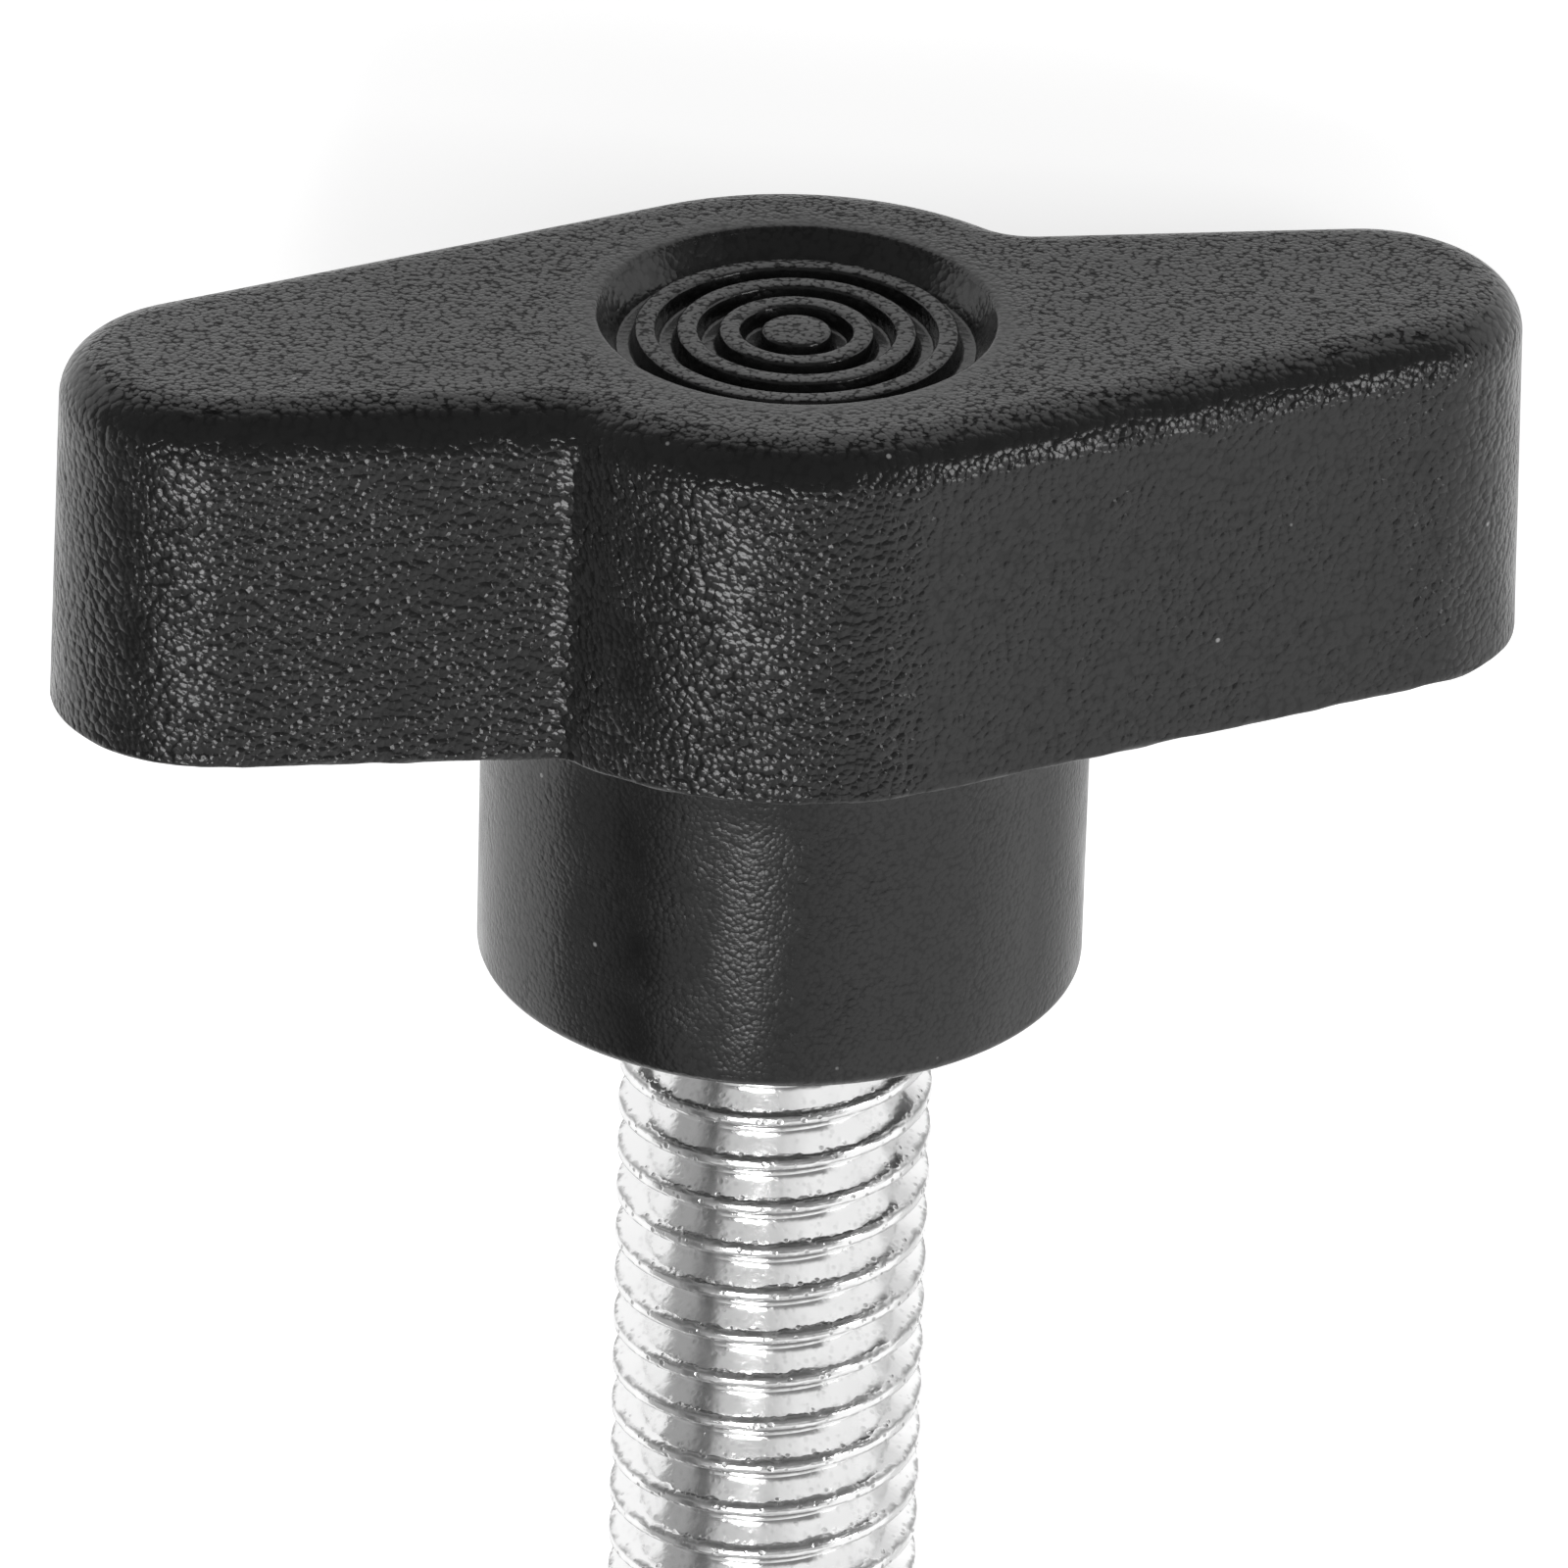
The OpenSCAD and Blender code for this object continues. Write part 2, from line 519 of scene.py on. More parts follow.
class ShaderGroups:
    """The node groups that more than one finish uses, each made once."""

    NOISE_SHARE = 0.65
    NOISE_ROUGHNESS = 0.55
    WEAR_ROUGHNESS = 0.6
    WEAR = Fade(0.35, 0.65)
    SPECK_CORE = 0.5

    def __init__(self, placement: Placement) -> None:
        """Makes the groups.

        Args:
            placement: Placement of the screw, for the group that turns it upright.
        """
        self.upright = self.make_upright(placement)
        self.grain = self.make_grain()
        self.specks = self.make_specks()

    @staticmethod
    def start(name: str, inputs: tuple[str, ...], outputs: tuple[str, ...]) -> NodeBuilder:
        """Starts a group with a vector named Vector and further inputs and outputs.

        Args:
            name: Name of the group.
            inputs: Names of the other inputs, which are values.
            outputs: Names of the outputs, which are values.

        Returns:
            A builder for the group's tree, with its input and output nodes added.
        """
        tree = bpy.data.node_groups.new(name, "ShaderNodeTree")
        tree.interface.new_socket("Vector", in_out="INPUT", socket_type="NodeSocketVector")
        for side, keys in (("INPUT", inputs), ("OUTPUT", outputs)):
            for key in keys:
                tree.interface.new_socket(key, in_out=side, socket_type="NodeSocketFloat")
        builder = NodeBuilder(tree)
        builder.node("NodeGroupInput", name="in")
        builder.node("NodeGroupOutput", name="out")
        return builder

    def make_upright(self, placement: Placement) -> bpy.types.NodeTree:
        """Turns a place in the scene into a place in the upright screw's frame.

        Args:
            placement: Placement of the screw.

        Returns:
            A group with the radius and the height in mm, and the share of a turn round the axis.
        """
        b = self.start("upright_place", (), ("Radius", "Height", "Turn"))
        mapping = {
            "Vector": b.tree.nodes["in"].outputs["Vector"],
            "Location": placement.seat,
            "Rotation": placement.turn.to_euler(),
            "Scale": Vector((METRES_PER_MM, METRES_PER_MM, METRES_PER_MM)),
        }
        upright = b.node("ShaderNodeMapping", mapping, vector_type="TEXTURE").outputs["Vector"]
        parts = b.node("ShaderNodeSeparateXYZ", {0: upright}).outputs
        square = b.times(parts["X"], parts["X"])
        b.feed(b.tree.nodes["out"], {
            "Radius": b.math("SQRT", b.math("MULTIPLY_ADD", parts["Y"], parts["Y"], square)),
            "Height": parts["Z"],
            "Turn": b.math("DIVIDE", b.math("ARCTAN2", parts["Y"], parts["X"]), math.tau),
        })
        return b.tree

    def make_grain(self) -> bpy.types.NodeTree:
        """Fine grain: rounded bumps of uneven size, and a slow mask of where it is worn.

        Returns:
            A group with a height of about 0 to 1 and a wear mask from 0 to 1.
        """
        b = self.start("fine_grain", ("Scale", "Roundness", "Wear Scale"), ("Height", "Wear"))
        given = b.tree.nodes["in"].outputs
        where, scale = given["Vector"], given["Scale"]
        away = b.node("ShaderNodeTexVoronoi", {"Vector": where, "Scale": scale}).outputs["Distance"]
        dome = b.times(b.times(away, away), given["Roundness"])
        uneven = b.noise(where, b.times(scale, self.NOISE_SHARE), self.NOISE_ROUGHNESS)
        wear = b.noise(where, given["Wear Scale"], self.WEAR_ROUGHNESS)
        b.feed(b.tree.nodes["out"], {"Height": b.minus(uneven, dome), "Wear": b.fade(wear, self.WEAR)})
        return b.tree

    def make_specks(self) -> bpy.types.NodeTree:
        """Sparse specks of dust or plating.

        Returns:
            A group with a mask that is 1 on a speck.
        """
        b = self.start("specks", ("Scale", "Share", "Size"), ("Mask",))
        given = b.tree.nodes["in"].outputs
        inputs = {"Vector": given["Vector"], "Scale": given["Scale"]}
        cells = b.node("ShaderNodeTexVoronoi", inputs).outputs
        chance = b.node("ShaderNodeSeparateColor", {0: cells["Color"]}).outputs[0]
        chosen = b.math("LESS_THAN", chance, given["Share"])
        inner = b.times(given["Size"], self.SPECK_CORE)
        near = b.span(cells["Distance"], inner, given["Size"], 1.0, 0.0)
        b.feed(b.tree.nodes["out"], {"Mask": b.times(chosen, near)})
        return b.tree


def empty_material(name: str) -> tuple[bpy.types.Material, NodeBuilder, bpy.types.Node, bpy.types.Node]:
    """Makes a material with only a Principled BSDF and an output.

    Args:
        name: Name of the material.

    Returns:
        The material, a builder for its tree, the Principled BSDF and the output node.
    """
    material = bpy.data.materials.new(name)
    material.use_nodes = True
    material.node_tree.nodes.clear()
    builder = NodeBuilder(material.node_tree)
    shader = builder.node("ShaderNodeBsdfPrincipled")
    output = builder.node("ShaderNodeOutputMaterial", {"Surface": shader.outputs[0]})
    return material, builder, shader, output


@dataclass(frozen=True)
class MouldedFinish:
    """Black glass-filled plastic from a spark-eroded mould.

    The grain is deepest on the sides of the wings. It is finer on the top face, the rings and the
    hub, and a calm area loses a share of its depth. Its hollows carry painted shade through a
    lower specular level, darkest on the top face and the rings. Heights and radii are in mm.
    """

    hub_height: float
    top: float
    ring_top: float
    recess_radius: float
    colour: float = 0.009
    pale: float = 0.33
    ior: float = 1.5
    roughness: Fade = Fade(0.0, 1.0, 0.165, 0.255)
    grain_scale: float = 5000.0
    roundness: float = 1.0
    fine_grain: float = 1.5
    grain_height: float = 0.000045
    patchy: Fade = Fade(0.0, 1.0, 0.5, 1.3)
    wear_scale: float = 650.0
    dust_scale: float = 1300.0
    dust_share: float = 0.1
    dust_size: float = 0.1
    edge_scuff: Fade = Fade(0.03, 0.15, 0.3, 0.0)
    seat_scuff: Fade = Fade(0.0, 0.3, 0.25, 0.0)
    recess_wall: float = 0.5
    ring_skin: float = 0.03
    top_skin: float = 0.12
    hub_skin: float = 0.01
    top_zone: Fade = Fade(-0.4, -0.1, smooth=True)
    rim_zone: Fade = Fade(0.1, 0.9, 0.75, 0.0)
    # specular level in the grain's hollows: painted shade in the pits, deepest on the top face and the
    # rings
    hollow_painted_shade: Fade = Fade(0.0, 1.0, 0.38, 0.06)
    crown_gloss: float = 0.48
    hollow_height: float = -0.02
    crown_height: float = 0.25
    shoulder: Fade = Fade(-1.2, -0.95)
    rounding: Fade = Fade(-0.8, -0.55)
    calm_edge: Fade = Fade(-0.2, -0.05, 0.6, 0.0)
    calm_hub: Fade = Fade(-0.1, 0.1, 0.79, 0.0)
    calm_recess: Fade = Fade(0.2, 0.9, 0.7, 0.0)
    calm_side: Fade = Fade(0.36, 0.54, 0.0, 0.5)
    calm_top: float = 0.3

    def material(self, groups: ShaderGroups) -> bpy.types.Material:
        """Builds the material.

        Args:
            groups: The shared node groups.

        Returns:
            The material.
        """
        made, b, shader, _ = empty_material("moulded_black")
        where = b.node("ShaderNodeTexCoord").outputs["Object"]
        place = b.group(groups.upright, {"Vector": where})
        from_hub = b.minus(place["Height"], self.hub_height)
        from_top = b.minus(place["Height"], self.top)
        from_recess = b.minus(place["Radius"], self.recess_radius)
        in_recess = b.math("LESS_THAN", from_recess, -self.recess_wall)
        on_rings = b.math("GREATER_THAN", place["Height"], self.ring_top - self.ring_skin)
        rings = b.times(in_recess, on_rings)
        near_top = b.math("GREATER_THAN", from_top, -self.top_skin)
        below_wings = b.math("LESS_THAN", from_hub, -self.hub_skin)
        finer = b.largest(near_top, below_wings, rings)
        scale = b.span(finer, 0.0, 1.0, self.grain_scale, self.grain_scale * self.fine_grain)
        grain = b.group(groups.grain, {"Vector": where, "Scale": scale, "Roundness": self.roundness,
                                       "Wear Scale": self.wear_scale})
        dust = b.group(groups.specks, {"Vector": where, "Scale": self.dust_scale,
                                       "Share": self.dust_share, "Size": self.dust_size})
        from_edge = b.math("ABSOLUTE", from_hub)
        edges = b.largest(b.fade(from_edge, self.edge_scuff), b.fade(place["Height"], self.seat_scuff))
        pale = b.largest(dust["Mask"], b.times(edges, b.math("POWER", grain["Wear"], 2.0)))
        on_top = b.fade(from_top, self.top_zone)
        rim = b.times(b.minus(1.0, in_recess), b.fade(from_recess, self.rim_zone))
        mottled = b.largest(b.times(on_top, b.minus(1.0, rim)), rings)
        # painted shade: the specular level drops in the grain's hollows, most on the top face and the
        # rings
        hollow = b.fade(mottled, self.hollow_painted_shade)
        gloss = b.span(grain["Height"], self.hollow_height, self.crown_height, hollow, self.crown_gloss)
        calm = b.largest(self.calm(b, place["Turn"], from_hub, from_top, from_recess),
                         b.times(on_top, self.calm_top))
        strength = b.times(b.minus(1.0, calm), b.fade(grain["Wear"], self.patchy))
        bump = b.node("ShaderNodeBump", {"Height": grain["Height"], "Distance": self.grain_height,
                                         "Strength": strength})
        b.feed(shader, {
            "Base Color": b.mix(pale, grey(self.colour), grey(self.pale)),
            "Roughness": b.fade(grain["Wear"], self.roughness),
            "Specular IOR Level": gloss,
            "Normal": bump.outputs["Normal"],
            "IOR": self.ior,
        })
        return made

    def calm(self, b: NodeBuilder, turn: Socket, from_hub: Socket, from_top: Socket,
             from_recess: Socket) -> Socket:
        """Adds the nodes for the hub, the rim of the recess, the rounded edge and the tangent sides.

        Args:
            b: Builder of the material's tree.
            turn: Share of a turn round the screw's axis.
            from_hub: Height above the wings' underside.
            from_top: Height above the top face.
            from_recess: Distance outwards from the edge of the recess.

        Returns:
            The share of the grain's depth that is lost there.
        """
        high = b.fade(from_top, self.shoulder)
        lean = b.math("SINE", b.times(turn, -2 * math.tau))
        return b.largest(
            b.times(b.fade(from_recess, self.calm_recess), high),
            b.times(b.fade(from_top, self.rounding), b.fade(from_top, self.calm_edge)),
            b.fade(from_hub, self.calm_hub),
            b.times(b.fade(lean, self.calm_side), b.minus(1.0, high)),
        )


@dataclass(frozen=True)
class ZincFinish:
    """Bright zinc plate on a rolled thread, with a ragged fold along each edge of its crests: a dent that
    also carries painted shade in a darker colour.
    """

    crest_radius: float
    pitch: float
    crest_height: float
    bright: float = 0.87
    # darker colour of the real pits and of the painted shade along the crest edges
    pit_and_shade_colour: float = 0.38
    roughness: Fade = Fade(0.0, 1.0, 0.1, 0.2)
    dull_roughness: float = 0.22
    relief: float = 0.000014
    skin_share: float = 0.5
    skin_scale: float = 3800.0
    skin_roundness: float = 0.3
    wear_scale: float = 900.0
    pit_scale: float = 5200.0
    pit_share: float = 0.35
    pit_size: float = 0.45
    crest_zone: Fade = Fade(-0.3, -0.06, smooth=True)
    pitted: Fade = Fade(0.0, 1.0, 0.15, 0.9)
    # place, width and breaks of the fold lines: a dent plus painted shade at each crest edge
    shaded_fold_place: float = 0.1
    shaded_fold_width: float = 0.06
    waver_scale: float = 2600.0
    shaded_fold_shift: Fade = Fade(0.3, 0.7, -0.032, 0.032)
    shaded_fold_kept: Fade = Fade(0.32, 0.5, 0.35, 1.0)
    outside: Fade = Fade(-0.1, 0.0, 1.0, 0.0)

    def material(self, groups: ShaderGroups) -> bpy.types.Material:
        """Builds the material.

        Args:
            groups: The shared node groups.

        Returns:
            The material.
        """
        made, b, shader, _ = empty_material("zinc_plate")
        where = b.node("ShaderNodeTexCoord").outputs["Object"]
        place = b.group(groups.upright, {"Vector": where})
        skin_grain = b.group(groups.grain, {"Vector": where, "Scale": self.skin_scale,
                                            "Roundness": self.skin_roundness,
                                            "Wear Scale": self.wear_scale})
        pits = b.group(groups.specks, {"Vector": where, "Scale": self.pit_scale,
                                       "Share": self.pit_share, "Size": self.pit_size})
        crest = b.fade(b.minus(place["Radius"], self.crest_radius), self.crest_zone)
        shaded_fold_lines = self.shaded_folds(b, place, b.noise(where, self.waver_scale))
        # real pits on the crests, and fold lines that are painted shade as well as a dent
        pits_and_shade = b.largest(shaded_fold_lines, b.times(pits["Mask"], b.fade(crest, self.pitted)))
        even = b.fade(skin_grain["Wear"], self.roughness)
        height = b.minus(b.times(skin_grain["Height"], self.skin_share), pits_and_shade)
        bump = b.node("ShaderNodeBump", {"Height": height, "Distance": self.relief})
        b.feed(shader, {
            "Base Color": b.mix(pits_and_shade, grey(self.bright), grey(self.pit_and_shade_colour)),
            "Roughness": b.math("MULTIPLY_ADD", pits_and_shade, self.dull_roughness, even),
            "Normal": bump.outputs["Normal"],
            "Metallic": 1.0,
        })
        return made

    def shaded_folds(self, b: NodeBuilder, place: Sockets, waver: Socket) -> Socket:
        """Adds the nodes for the ragged line along each edge of the crest, a dent that also carries
        painted shade.

        Args:
            b: Builder of the material's tree.
            place: Outputs of the upright place.
            waver: Noise from 0 to 1 that moves and breaks the lines.

        Returns:
            A mask that is 1 on a fold line: a dent and painted shade.
        """
        climb = b.math("DIVIDE", b.minus(place["Height"], self.crest_height), self.pitch)
        share = b.math("FRACT", b.plus(b.minus(place["Turn"], climb), 0.5))
        off = b.math("ABSOLUTE", b.minus(share, 0.5))
        edge = b.plus(self.shaded_fold_place, b.fade(waver, self.shaded_fold_shift))
        line = b.span(b.math("ABSOLUTE", b.minus(off, edge)), 0.0, self.shaded_fold_width, 1.0, 0.0)
        kept = b.times(b.fade(waver, self.shaded_fold_kept), b.fade(place["Height"], self.outside))
        return b.times(line, kept)


@dataclass
class Handle:
    """The moulded handle: wings and boss, hub, ringed recess and the cavity round the stud's root."""

    placement: Placement
    root: StudRoot
    plan: GripPlan
    hub_radius: float = 7.55
    hub_height: float = 8.1
    hub_edge: float = 0.3
    hub_fillet: float = 0.12
    hub_rows: int = 8
    fillet_steps: int = 6
    grip_height: float = 9.4
    draft: float = math.radians(1.4)
    top_shares: tuple[float, ...] = (0.9, 0.7, 0.45, 0.2, 0.05, 0.01)
    top_edge: float = 1.3
    top_edge_steps: int = 14
    side_shares: tuple[float, ...] = (0.99, 0.9, 0.75, 0.6, 0.45, 0.3, 0.2, 0.13, 0.08, 0.05, 0.03)
    lower_edge: float = 0.1
    lower_edge_steps: int = 3
    under_shares: tuple[float, ...] = (0.02, 0.3, 0.6, 0.9, 0.98)
    recess_radius: float = 4.93
    recess_slope: float = 0.53
    recess_rim: float = 0.16
    rim_width: float = 0.4
    ring_drop: float = 0.42
    groove_depth: float = 0.5
    dot_radius: float = 0.845
    dot_middle: float = 0.3
    ring_count: int = 3
    ring_width: float = 0.5
    ring_step: float = 1.04
    ring_draft: float = math.radians(10)
    ring_crown: float = 0.1
    ring_foot: float = 0.09
    rounding_steps: int = 4
    flash: float = 0.05
    flash_reach: float = 0.5
    flash_clearance: float = 0.15
    wave_scale: float = 2.2
    wave_seed: float = 0.3
    wave_share: float = 0.4
    wave_side_share: float = 0.3
    chip_scale: float = 0.9
    chip_seed: float = 7.1
    chip_share: float = 0.4
    chip_gain: float = 3.0
    object: bpy.types.Object | None = field(default=None, init=False)

    @property
    def top(self) -> float:
        """Height of the top face above the seat."""
        return self.hub_height + self.grip_height

    @property
    def ring_top(self) -> float:
        """Height of the rings and the dot above the seat."""
        return self.top - self.ring_drop

    def recess_profile(self) -> list[tuple[float, float]]:
        """Works out the profile of the recess.

        Returns:
            Radius and height of each point, from the dot in its middle to its rounded rim.
        """
        floor = self.ring_top - self.groove_depth
        spread = self.groove_depth * math.tan(self.ring_draft)
        corners = [
            (self.dot_middle, self.ring_top, 0.0),
            (self.dot_radius, self.ring_top, self.ring_crown),
            (self.dot_radius + spread, floor, self.ring_foot),
        ]
        for i in range(1, self.ring_count + 1):
            outer = self.dot_radius + i * self.ring_step
            inner = outer - self.ring_width
            corners += [
                (inner - spread, floor, self.ring_foot),
                (inner, self.ring_top, self.ring_crown),
                (outer, self.ring_top, self.ring_crown),
                (outer + spread, floor, self.ring_foot),
            ]
        corners += [
            (self.recess_radius - self.recess_slope, floor, self.ring_foot),
            (self.recess_radius, self.top, self.recess_rim),
            (self.recess_radius + self.rim_width, self.top, 0.0),
        ]
        return rounded(corners, self.rounding_steps)

    def levels(self) -> list[Level]:
        """The levels of the whole moulding, from the middle of the recess round to the cavity."""
        levels = [Level(Section.ROUND, r, z) for r, z in self.recess_profile()]
        return levels + self.grip_levels() + self.hub_levels()

    def grip_levels(self) -> list[Level]:
        """Lists the levels of the wings and the boss.

        Returns:
            The levels of the top face, the rounded edge, the drafted sides and the underside.
        """
        shoulder = self.grip_height - self.top_edge
        side_top = shoulder + self.top_edge * math.sin(self.draft)
        inset = math.tan(self.draft) * side_top + self.top_edge * math.cos(self.draft)
        rim = self.recess_radius + self.rim_width
        levels = [Level(Section.GRIP, inset, self.top, share, rim) for share in self.top_shares]
        for angle in np.linspace(math.pi / 2, self.draft, self.top_edge_steps + 1):
            height = self.hub_height + shoulder + self.top_edge * math.sin(angle)
            levels.append(Level(Section.GRIP, inset - self.top_edge * math.cos(angle), height))
        for share in self.side_shares:
            height = side_top * share
            levels.append(Level(Section.GRIP, height * math.tan(self.draft), self.hub_height + height))
        for angle in np.linspace(0, math.pi / 2, self.lower_edge_steps + 1):
            edge_inset = self.lower_edge * (1 - math.cos(angle))
            height = self.hub_height + self.lower_edge * (1 - math.sin(angle))
            levels.append(Level(Section.GRIP, edge_inset, height))
        root = self.hub_radius + self.hub_fillet
        under = [(self.lower_edge, self.hub_height, share, root) for share in self.under_shares]
        return levels + [Level(Section.GRIP, *row) for row in under]

    def hub_levels(self) -> list[Level]:
        """Lists the levels below the wings.

        Returns:
            The levels of the hub, its seat and the cavity that the stud's root fills.
        """
        corners = [
            (self.hub_radius + 2 * self.hub_fillet, self.hub_height, 0.0),
            (self.hub_radius, self.hub_height, self.hub_fillet),
            (self.hub_radius, 0.0, self.hub_edge),
            (self.root.crest_radius, 0.0, 0.0),
        ]
        profile = rounded(corners, self.fillet_steps)[1:]
        heights = np.linspace(self.hub_height - self.hub_fillet, self.hub_edge, self.hub_rows)[1:-1]
        fillet_end = self.fillet_steps + 1
        rows = profile[:fillet_end] + [(self.hub_radius, z) for z in heights] + profile[fillet_end:]
        return [Level(Section.ROUND, r, z) for r, z in rows] + self.root.levels()

    def rings(self) -> np.ndarray:
        """Works out the points of every level.

        Returns:
            The points in mm, as an array of rings, points and coordinates.
        """
        base = self.plan.outline(0.0)
        angles = np.arctan2(base[:, 1], base[:, 0])
        circle = np.column_stack([np.cos(angles), np.sin(angles)])
        rings = []
        for level in self.levels():
            if level.section is Section.GRIP:
                inner = circle * level.blend_radius
                flat = self.plan.outline(level.size) * (1 - level.blend) + inner * level.blend
            elif level.section is Section.KNURL:
                flat = circle * self.root.knurl(angles)[:, None]
            else:
                flat = circle * level.size
            rings.append(np.column_stack([flat, np.full(len(flat), level.height)]))
        return self.worn(np.array(rings), circle)

    def worn(self, rings: np.ndarray, circle: np.ndarray) -> np.ndarray:
        """Adds the flash and the small nicks along the lower edge of the wings.

        Args:
            rings: The points of every level.
            circle: Direction of each point from the axis.

        Returns:
            The points, moved by a few hundredths of a millimetre near that edge.
        """
        base = self.plan.outline(0.0)
        height = rings[:, :, 2] - self.hub_height
        plan_radius = np.linalg.norm(rings[:, :, :2], axis=2)
        outside = plan_radius > self.hub_radius + self.flash_clearance
        near = np.clip(1 - np.abs(height) / self.flash_reach, 0, 1) * outside
        wave = self.noise_along(base, self.wave_scale, self.wave_seed)
        chips = self.noise_along(base, self.chip_scale, self.chip_seed)
        step = self.wave_share * wave + self.chip_share * np.clip(chips * self.chip_gain, -1, 1)
        rings[:, :, 2] += near * self.flash * step
        sideways = near * self.flash * wave * self.wave_side_share
        rings[:, :, :2] += sideways[:, :, None] * circle[None]
        return rings

    @staticmethod
    def noise_along(points: np.ndarray, scale: float, seed: float) -> np.ndarray:
        """Noise between about -1 and 1 at each point of an outline, with its seed as a height."""
        return np.array([noise.noise(Vector((x * scale, y * scale, seed))) for x, y in points])

    def build(self) -> None:
        """Builds the mesh."""
        points, faces = skin(self.rings(), (self.ring_top, self.root.top))
        self.object = mesh_object("moulded_handle", points, faces, self.placement.matrix)
        soften(self.object.data)

    def dress(self, material: bpy.types.Material) -> None:
        """Gives the handle its finish and its place in the frame.

        Args:
            material: The handle's finish.
        """
        self.object.data.materials.append(material)
        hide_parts("handle")
        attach(self.object, BODY)


@dataclass
class Stud:
    """The stud: a rolled thread, made with Geometry Nodes, and the root inside the handle."""

    placement: Placement
    root: StudRoot
    length: float = 30.0
    pitch: float = 1.25
    thread_depth: float = 0.72
    crest_flat: float = 0.2
    root_flat: float = 0.14
    end_chamfer: float = 0.767
    crest_lean: float = 0.026
    crest_blend: float = 0.09
    root_blend: float = 0.12
    phase: float = -0.66
    columns: int = 96
    rows_per_turn: int = 24
    grid_weld: float = 0.0015
    weld: float = 0.003
    sliver: float = 0.0005
    sharp_angle: float = math.radians(40)
    object: bpy.types.Object | None = field(default=None, init=False)

    @property
    def crest_height(self) -> float:
        """Height of a crest where the turn starts, on the x axis."""
        return self.phase + self.root.runout_length + self.pitch / 2

    def thread_tree(self) -> bpy.types.NodeTree:
        """Builds the tree that sweeps the thread's profile along its helix.

        Returns:
            The tree. Its grid has one column for each step round the axis and one row for each
            point of the profile, and both ends are pressed flat and merged into plain circles.
        """
        tree = bpy.data.node_groups.new("rolled_thread", "GeometryNodeTree")
        for key, value in self.tree_values().items():
            kind = "NodeSocketInt" if isinstance(value, int) else "NodeSocketFloat"
            tree.interface.new_socket(key, in_out="INPUT", socket_type=kind)
        tree.interface.new_socket("Geometry", in_out="OUTPUT", socket_type="NodeSocketGeometry")
        b = NodeBuilder(tree)
        given = b.node("NodeGroupInput").outputs
        total = b.plus(given["Length"], given["Run-out"])
        turns = b.plus(b.math("CEIL", b.math("DIVIDE", total, given["Pitch"])), 2.0)
        rows = b.plus(b.times(turns, given["Rows per Turn"]), 1.0)
        across = b.plus(given["Columns"], 1.0)
        grid = b.node("GeometryNodeMeshGrid", {"Vertices X": across, "Vertices Y": rows})
        index = b.node("GeometryNodeInputIndex").outputs[0]
        column = b.math("FLOOR", b.math("DIVIDE", b.plus(index, 0.5), rows))
        row = b.minus(index, b.times(column, rows))
        round_share = b.math("DIVIDE", column, given["Columns"])
        step = b.math("DIVIDE", b.plus(row, 0.5), given["Rows per Turn"])
        climb = b.minus(b.plus(round_share, 1.0), step)
        climbed = b.math("MULTIPLY_ADD", climb, given["Pitch"], given["Phase"])
        free = b.plus(climbed, given["Run-out"])
        bottom = b.times(given["Length"], -1.0)
        height = b.largest(b.math("MINIMUM", free, given["Run-out"]), bottom)
        share = b.math("FRACT", step)
        radius = self.thread_radius(b, given, share, height)
        angle = b.times(round_share, math.tau)
        place = b.node("ShaderNodeCombineXYZ", {
            "X": b.times(radius, b.math("COSINE", angle)),
            "Y": b.times(radius, b.math("SINE", angle)),
            "Z": height,
        })
        moves = {"Geometry": grid.outputs["Mesh"], "Position": place.outputs[0]}
        moved = b.node("GeometryNodeSetPosition", moves)
        merges = {"Geometry": moved.outputs[0], "Distance": self.grid_weld}
        welded = b.node("GeometryNodeMergeByDistance", merges)
        turned = b.node("GeometryNodeFlipFaces", {"Mesh": welded.outputs[0]})
        real = b.node("GeometryNodeRealizeInstances", {"Geometry": turned.outputs[0]})
        dressed = b.node("GeometryNodeSetMaterial", {"Geometry": real.outputs[0]}, name="finish")
        b.node("NodeGroupOutput", {"Geometry": dressed.outputs[0]})
        return tree

    def thread_radius(self, b: NodeBuilder, given: Sockets, share: Socket, height: Socket) -> Socket:
        """Adds the nodes that give the radius of the thread.

        Args:
            b: Builder of the thread's tree.
            given: Outputs of the tree's input node.
            share: Place along the profile, as a share of the pitch, with the crest at a half.
            height: Height above the seat.

        Returns:
            The radius, limited by the end chamfer and faded into the neck above the seat.
        """
        off = b.math("ABSOLUTE", b.minus(share, 0.5))
        crest_half = b.times(given["Crest Flat"], 0.5)
        root_half = b.minus(0.5, b.times(given["Root Flat"], 0.5))
        flank = b.minus(root_half, crest_half)
        rise = b.math("DIVIDE", b.minus(root_half, off), flank)
        capped = b.math("SMOOTH_MIN", rise, 1.0, self.crest_blend)
        level = b.math("SMOOTH_MAX", capped, 0.0, self.root_blend)
        base = b.minus(given["Crest Radius"], given["Thread Depth"])
        swing = b.math("SINE", b.times(b.minus(share, 0.5), math.tau))
        leaning = b.math("MULTIPLY_ADD", swing, given["Crest Lean"], base)
        thread = b.math("MULTIPLY_ADD", level, given["Thread Depth"], leaning)
        end_radius = b.minus(given["Crest Radius"], given["End Chamfer"])
        cone = b.plus(end_radius, b.plus(height, given["Length"]))
        limited = b.math("MINIMUM", thread, cone)
        fade = b.span(height, 0.0, given["Run-out"], 0.0, 1.0)
        kept = b.times(limited, b.minus(1.0, fade))
        return b.math("MULTIPLY_ADD", given["Neck Radius"], fade, kept)

